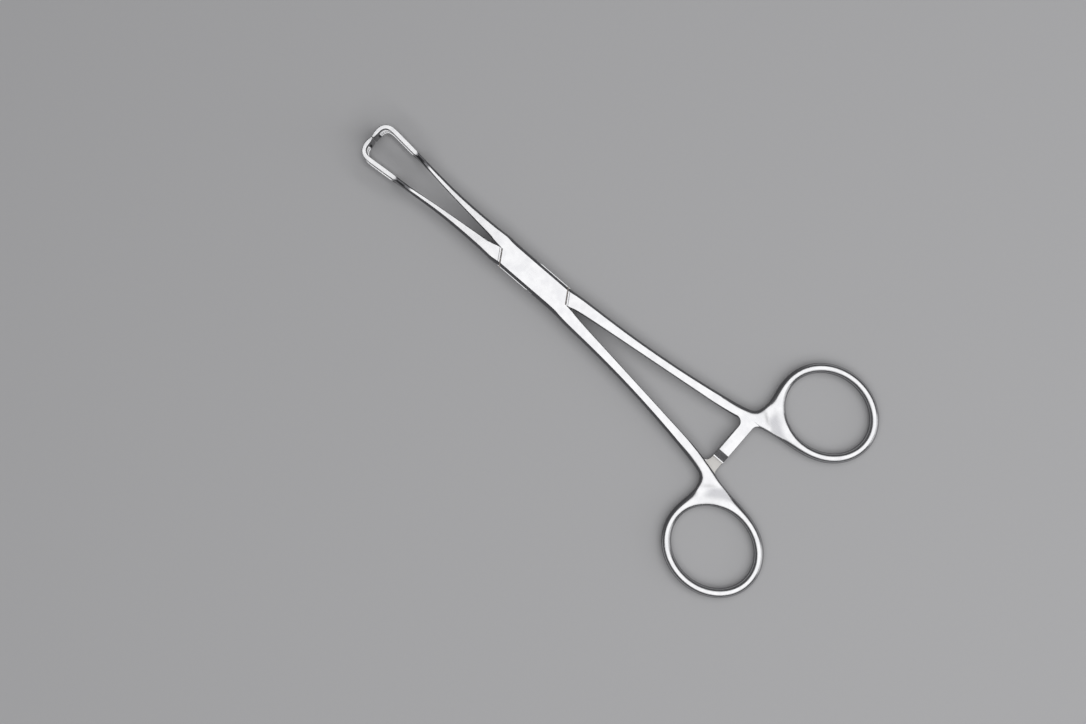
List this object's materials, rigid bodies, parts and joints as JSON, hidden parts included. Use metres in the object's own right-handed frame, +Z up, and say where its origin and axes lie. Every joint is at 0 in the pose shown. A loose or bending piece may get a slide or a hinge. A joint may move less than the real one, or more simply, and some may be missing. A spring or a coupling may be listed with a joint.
{
  "type": "traction forceps",
  "caption": "Ring-handled surgical traction forceps with a box lock, a ratchet and curved windowed jaws that meet at their tips.",
  "frame": {"origin": "middle of the underside of the forceps' box, on the table it lies on", "axes": "+Y from the finger rings to the jaws, +Z up from the table, +X to the through half's finger ring"},
  "size_m": [0.0748, 0.1601, 0.0092],
  "materials": {
    "box_steel": "satin ground stainless steel, polished edges",
    "through_steel": "satin ground stainless steel, polished edges",
    "pin_steel": "ground flush with the lock plates"
  },
  "bodies": {
    "box_body": {"box_half": "box_steel", "lock_pin": "pin_steel"},
    "through_body": {"through_half": "through_steel"}
  },
  "joints": [
    {"name": "lock_hinge", "type": "hinge", "parent": "box_body", "child": "through_body", "pos_m": [0, 0.02077, 0.0036], "axis": [0, -0.0196, 0.9998], "range_deg": [0, 60]}
  ]
}
